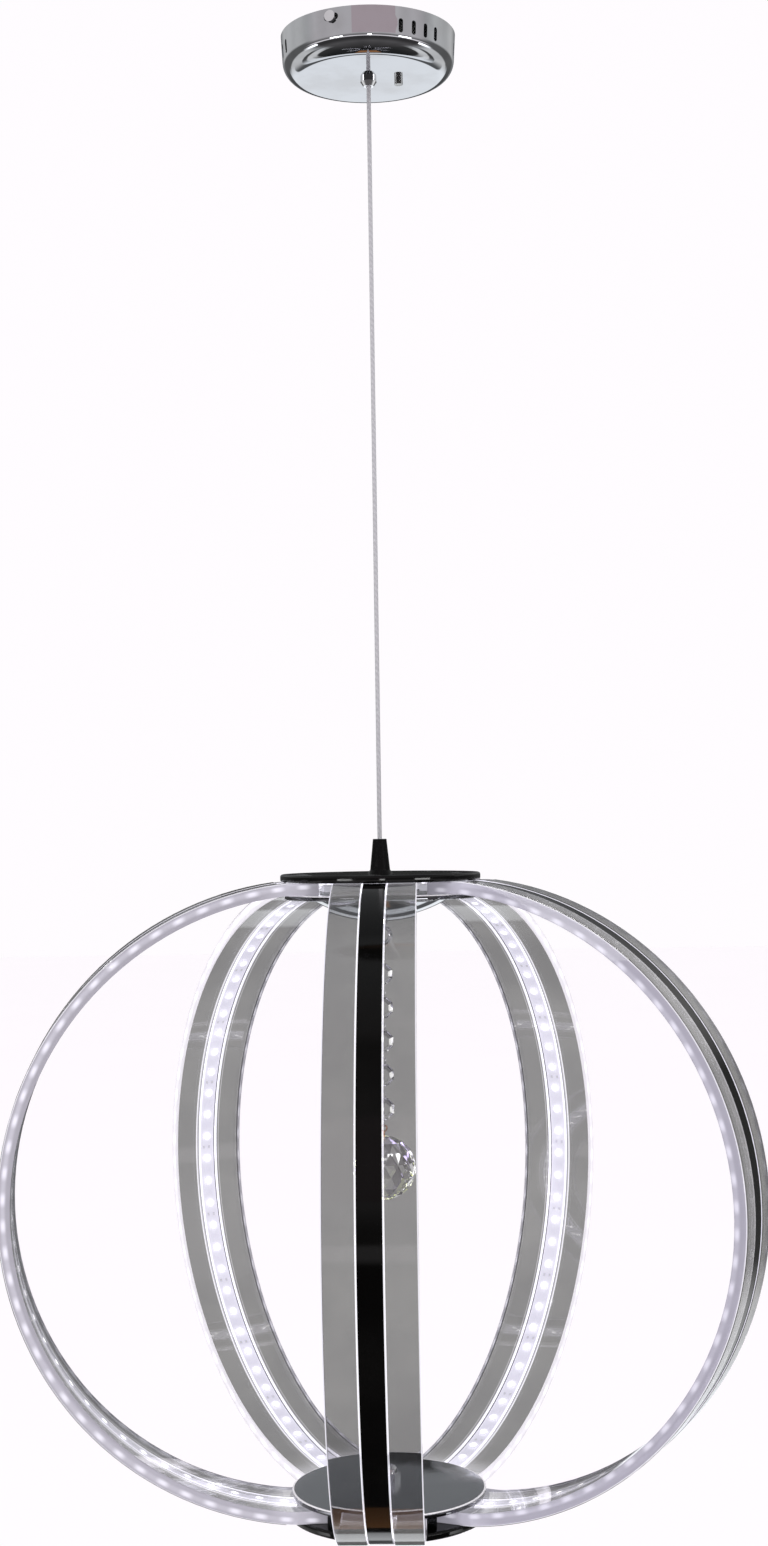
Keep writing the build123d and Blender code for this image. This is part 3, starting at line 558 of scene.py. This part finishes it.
def cableFinish(look):
    material, tree, shader = newFinish("clearCable", IOR=1.45, Coat_Weight=look["coat"],
                                       Coat_Roughness=look["coatRough"])
    wear = addWear(tree, look["wear"])
    cores = addNode(tree, "ShaderNodeTexWave", bands_direction="DIAGONAL")
    feed(tree, cores.inputs["Vector"], objectPoint(tree))
    cores.inputs["Scale"].default_value = look["twist"]
    paint(tree, shader, times(tree, cores.outputs["Fac"], look["shown"]), look["jacket"], look["core"])
    roughen(tree, shader, wear["Grain"], middling, look["rough"])
    return material


# white ring board with its tracks under the solder mask
boardLook = {"mask": (0.74, 0.76, 0.74, 1), "track": (0.62, 0.64, 0.60, 1), "trackScale": 120.0,
             "trackWidth": 0.06, "wear": 70.0, "rough": (0.3, 0.45)}


def boardFinish(look):
    material, tree, shader = newFinish("circuitBoard", IOR=1.5)
    wear = addWear(tree, look["wear"])
    tracks = addNode(tree, "ShaderNodeTexVoronoi", feature="DISTANCE_TO_EDGE")
    feed(tree, tracks.inputs["Vector"], objectPoint(tree))
    tracks.inputs["Scale"].default_value = look["trackScale"]
    track = under(tree, tracks.outputs["Distance"], look["trackWidth"])
    paint(tree, shader, track, look["mask"], look["track"])
    roughen(tree, shader, wear["Smudge"], full, look["rough"])
    return material


# cut crystal: clear with some facets tinted grey; painted reflections tint facets violet above and straw
# below, and painted glints make some facets glow with the chips' light
crystalLook = {
    "clear": (0.97, 0.975, 0.98, 1), "smoke": (0.34, 0.33, 0.36, 1), "white": (1.0, 1.0, 1.0, 1),
    "violet": (0.66, 0.55, 1.0, 1), "straw": (0.92, 1.0, 0.40, 1), "light": 2.4,
    "wear": 60.0, "rough": (0.0, 0.012), "smokeFrom": (0.52, 0.60), "tintFrom": (0.47, 0.38), "tint": 0.55,
    "cutScale": 9.0, "mixScale": 7.0, "mixReach": (-0.5, 0.5), "violetFrom": (0.25, 0.45),
    "strawFrom": (-0.15, -0.35), "litScale": 11.0, "litFrom": (0.60, 0.65), "patchScale": 240.0,
    "patchFrom": (0.42, 0.60),
}
# beads: paler painted reflection tints and dimmer painted glints
beadLook = {**crystalLook, "straw": (0.97, 0.98, 0.92, 1), "violet": (0.90, 0.87, 1.0, 1), "light": 1.3}


def crystalFinish(name, look):
    material, tree, shader = newFinish(name, IOR=1.52, Transmission_Weight=1.0,
                                       Emission_Strength=look["light"])
    coordinates = addNode(tree, "ShaderNodeTexCoord")
    facing = coordinates.outputs["Normal"]
    mixed = stretch(tree, noise(tree, facing, look["mixScale"], detail=0.0), middling, look["mixReach"])
    # painted reflection colour: facets facing up turn violet, facets facing down straw
    tint = plus(tree, splitVector(tree, facing)[2], mixed)
    cool = mixColour(tree, stretch(tree, tint, look["violetFrom"]), look["white"], look["violet"])
    spark = mixColour(tree, stretch(tree, tint, look["strawFrom"]), cool, look["straw"])
    wear = addWear(tree, look["wear"])
    cut = noise(tree, facing, look["cutScale"], detail=0.0)
    body = mixColour(tree, stretch(tree, cut, look["smokeFrom"]), look["clear"], look["smoke"])
    paint(tree, shader, stretch(tree, cut, look["tintFrom"], (0.0, look["tint"])), body, spark)
    roughen(tree, shader, wear["Smudge"], full, look["rough"])
    # painted glints: lit facets, broken into small patches, glow in the facet's tint
    lit = stretch(tree, noise(tree, facing, look["litScale"], detail=0.0), look["litFrom"])
    speckle = noise(tree, coordinates.outputs["Object"], look["patchScale"], detail=0.0)
    shine = times(tree, lit, stretch(tree, speckle, look["patchFrom"], soft=True))
    feed(tree, shader.inputs["Emission Color"], mixColour(tree, shine, black, spark))
    keepOffLamps(material)
    return material


# copper coloured pin wire
copperLook = {"bright": (0.78, 0.46, 0.30, 1), "dull": (0.46, 0.25, 0.16, 1), "wear": 300.0,
              "rough": (0.15, 0.32)}


def copperFinish(look):
    material, tree, shader = newFinish("copperWire", Metallic=1.0)
    wear = addWear(tree, look["wear"])
    paint(tree, shader, wear["Smudge"], look["bright"], look["dull"])
    roughen(tree, shader, wear["Smudge"], full, look["rough"])
    return material


# round faces shade smoothly, and edges sharper than the angle stay crisp
smoothing = {"angle": 24.0, "weld": 0.000005}


def smoothByAngle(name, sizes):
    node = cad[name]
    for face in node.data.polygons:
        face.use_smooth = True
    weld = node.modifiers.new("weld", "WELD")
    weld.merge_threshold = sizes["weld"]
    split = node.modifiers.new("split", "EDGE_SPLIT")
    split.split_angle = math.radians(sizes["angle"])


cover = blackGlossFinish("blackCover", coverLook)
film = filmFinish(filmLook)
for number in range(len(ribSizes["turns"])):
    rib = "rib_%d_" % (number + 1)
    dress(rib + "acrylic", acrylicFinish(number, acrylicLook))
    dress(rib + "smoke_film", film)
    dress(rib + "cover_strip", cover)
    dress(rib + "led_tape", tapeFinish(number, tapeLook))
    dress(rib + "led_chips", chipFinish(number, chipLook))
print("ribs dressed")

finishes = {
    "chrome": chromeFinish("mirrorChrome", chromeLook),
    "steel": steelFinish(steelLook),
    "black_plate": blackGlossFinish("blackPlate", plateLook),
    "black_plastic": mouldingFinish("blackMoulding", coneLook),
    "white_plastic": mouldingFinish("whiteMoulding", whiteLook),
    "cable": cableFinish(cableLook),
    "board": boardFinish(boardLook),
    "crystal": crystalFinish("cutCrystal", crystalLook),
    "copper": copperFinish(copperLook),
}
for part in frame["record"]["subparts"]:
    if part["material_slot"] in finishes:
        dress(part["node"], finishes[part["material_slot"]])
fittingChrome = chromeFinish("fittingChrome", fittingLook)
for name in fittings:
    dress(name, fittingChrome)
dress("bottom_inner_plate", satinFinish("satinChrome", satinLook, *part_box("bottom_inner_plate")))
dress("top_inner_plate", satinFinish("hubChrome", hubLook, *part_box("top_inner_plate")))
dress("crystal_beads", crystalFinish("beadCrystal", beadLook))
dress("hub_connectors", mouldingFinish("litMoulding", connectorLook))
cable.data.materials.append(finishes["cable"])
for name in cad:
    if not name.startswith("crystal"):
        smoothByAngle(name, smoothing)
print("hub, canopy and strand dressed")

# pale floor far below and a bright surround
stageLook = {
    "white": (1.0, 0.975, 1.0, 1), "pale": (0.94, 0.922, 0.94, 1), "paler": (0.96, 0.942, 0.96, 1),
    "height": -3.0, "size": 80.0, "light": 0.085, "rough": 0.9, "cloudScale": 0.8, "cloudDetail": 3.0,
}


def layFloor(look):
    bpy.ops.mesh.primitive_plane_add(size=look["size"], location=(0, 0, look["height"]))
    floor = bpy.context.object
    floor.name = "studioFloor"
    material, tree, shader = newFinish("paleFloor", Roughness=look["rough"], Emission_Color=look["white"],
                                       Emission_Strength=look["light"])
    cloud = noise(tree, objectPoint(tree), look["cloudScale"], look["cloudDetail"])
    paint(tree, shader, cloud, look["pale"], look["paler"])
    floor.data.materials.append(material)
    floor.visible_glossy = False
    floor.visible_transmission = False


# the room that only the mirrors see, shaded by height from straight down (0) to straight up (1)
roomLook = {
    "behind": {"tint": (0.97, 1.0, 1.04), "stops": [
        (0.0, 0.03), (0.105, 0.02), (0.125, 0.02), (0.135, 1.1), (0.20, 1.15), (0.215, 0.12),
        (0.285, 0.12), (0.298, 1.15), (0.385, 1.15), (0.40, 0.10), (0.50, 0.08), (0.55, 0.25), (0.63, 0.23),
        (0.75, 0.20), (0.95, 0.30), (0.97, 0.55)]},
    "before": {"tint": (1.0, 0.955, 0.98), "stops": [
        (0.0, 0.05), (0.18, 0.12), (0.30, 0.05), (0.41, 0.05), (0.43, 1.1), (0.46, 1.1), (0.473, 0.20),
        (0.50, 0.20), (0.52, 0.26), (0.58, 0.64), (0.72, 0.60), (0.80, 0.38), (0.95, 0.30), (0.97, 0.55)]},
    "beside": {"tint": (1.0, 1.0, 1.0), "stops": [
        (0.0, 0.05), (0.10, 0.05), (0.11, 0.9), (0.16, 0.9), (0.17, 0.10), (0.20, 0.10), (0.21, 0.8),
        (0.34, 0.8), (0.37, 0.15), (0.57, 0.15), (0.62, 0.66), (0.75, 0.62), (1.0, 0.35)]},
    "frontFrom": (0.15, -0.35), "asideFrom": (0.22, 0.6), "drapeScale": 2.6, "drapeShade": (0.12, 0.0),
    "brown": {"half": 0.07, "low": 0.03, "high": 0.10, "tone": (0.38, 0.18, 0.08, 1)},
    "door": {"half": 0.10, "low": -0.03, "high": 0.10, "tone": (0.03, 0.03, 0.03, 1)},
    "stand": {"left": -0.36, "right": 0.63, "low": 0.18, "high": 0.62, "tone": (0.53, 0.44, 0.47, 1)},
    "panels": {"from": 1.25, "low": -0.35, "high": -0.22, "light": (4.0, 4.0, 4.1, 1)},
    "boxes": {"places": [(-0.72, 0.15), (0.04, 0.05), (0.86, 0.16)], "low": -0.065, "high": -0.005,
              "light": (11.0, 11.0, 11.0, 1)},
}


def shadeByHeight(tree, height, look):
    ramp = addNode(tree, "ShaderNodeValToRGB")
    feed(tree, ramp.inputs[0], height)
    line = ramp.color_ramp.elements
    while len(line) < len(look["stops"]):
        line.new(0.5)
    for stop, (place, value) in zip(line, look["stops"]):
        stop.position = place
        stop.color = (*(value * share for share in look["tint"]), 1)
    return ramp.outputs[0]


def roomWalls(tree, look, east, height, front, back):
    brown = look["brown"]
    strip = times(tree, between(tree, east, -brown["half"], brown["half"]),
                  between(tree, height, brown["low"], brown["high"]))
    rear = mixColour(tree, strip, shadeByHeight(tree, height, look["behind"]), brown["tone"])
    walls = mixColour(tree, front, rear, shadeByHeight(tree, height, look["before"]))
    aside = stretch(tree, magnitude(tree, east), look["asideFrom"], soft=True)
    return mixColour(tree, times(tree, aside, back), walls, shadeByHeight(tree, height, look["beside"]))


def mirrorRoom(tree, look, east, north, rise):
    front = stretch(tree, north, look["frontFrom"], soft=True)
    back = minus(tree, 1.0, front)
    room = roomWalls(tree, look, east, stretch(tree, rise, (-1.0, 1.0)), front, back)
    door = look["door"]
    wide = between(tree, east, -door["half"], door["half"])
    ajar = times(tree, wide, between(tree, rise, door["low"], door["high"]))
    room = mixColour(tree, times(tree, ajar, back), room, door["tone"])
    around = calc(tree, "ARCTAN2", east, times(tree, north, -1.0))
    drape = addNode(tree, "ShaderNodeTexNoise", noise_dimensions="1D")
    feed(tree, drape.inputs["W"], around)
    drape.inputs["Scale"].default_value = look["drapeScale"]
    drape.inputs["Detail"].default_value = 0.0
    room = mixColour(tree, stretch(tree, drape.outputs["Fac"], middling, look["drapeShade"]), room, black)
    stand = look["stand"]
    upright = times(tree, between(tree, around, stand["left"], stand["right"]),
                    between(tree, rise, stand["low"], stand["high"]))
    room = mixColour(tree, upright, room, stand["tone"])
    panels = look["panels"]
    outside = over(tree, magnitude(tree, around), panels["from"])
    low = times(tree, outside, between(tree, rise, panels["low"], panels["high"]))
    room = mixColour(tree, times(tree, low, front), room, panels["light"])
    boxes = look["boxes"]
    level = between(tree, rise, boxes["low"], boxes["high"])
    for middle, half in boxes["places"]:
        box = times(tree, calc(tree, "COMPARE", around, middle, half), level)
        room = mixColour(tree, box, room, boxes["light"])
    return room


# what is seen through clear pieces: a grey wall, darker at the far top and bottom
wallLook = {"wall": (0.43, 0.425, 0.42, 1), "ends": (0.10, 0.10, 0.11, 1), "low": (-0.82, -0.90),
            "high": (0.55, 0.68)}


def lightWorld(white, wall, room):
    world = bpy.data.worlds.new("studio")
    scene.world = world
    world.use_nodes = True
    tree = world.node_tree
    tree.nodes.clear()
    direction = addNode(tree, "ShaderNodeTexCoord").outputs["Generated"]
    east, north, rise = splitVector(tree, direction)
    far = plus(tree, *(stretch(tree, rise, wall[end], soft=True) for end in ("low", "high")))
    path = addNode(tree, "ShaderNodeLightPath")
    through = path.outputs["Is Transmission Ray"]
    reflected = calc(tree, "SUBTRACT", path.outputs["Is Glossy Ray"], through, clamp=True)
    shown = mixColour(tree, through, white, mixColour(tree, far, wall["wall"], wall["ends"]))
    shown = mixColour(tree, reflected, shown, mirrorRoom(tree, room, east, north, rise))
    background = addNode(tree, "ShaderNodeBackground")
    feed(tree, background.inputs["Color"], shown)
    output = addNode(tree, "ShaderNodeOutputWorld")
    tree.links.new(background.outputs[0], output.inputs[0])


lamps = [
    {"name": "keySoftbox", "place": (-1.6, -1.5, 0.5), "size": 1.6, "power": 8.0},
    {"name": "fillSoftbox", "place": (1.9, -1.1, -0.2), "size": 1.6, "power": 4.0},
]
lampAim = (0, 0, -0.6)


def addLamp(lamp):
    bpy.ops.object.light_add(type="AREA", location=lamp["place"])
    light = bpy.context.object
    light.name = lamp["name"]
    light.data.size = lamp["size"]
    light.data.energy = lamp["power"]
    aim = Vector(lampAim) - light.location
    light.rotation_euler = aim.to_track_quat("-Z", "Y").to_euler()
    light.visible_camera = False
    light.visible_glossy = False
    light.visible_transmission = False


layFloor(stageLook)
lightWorld(stageLook["white"], wallLook, roomLook)
for lamp in lamps:
    addLamp(lamp)
clearBounces = 24
scene.view_settings.view_transform = "Standard"
scene.cycles.max_bounces = clearBounces
scene.cycles.transmission_bounces = clearBounces
scene.cycles.transparent_max_bounces = clearBounces
print("studio lit")

bpy.context.view_layer.update()
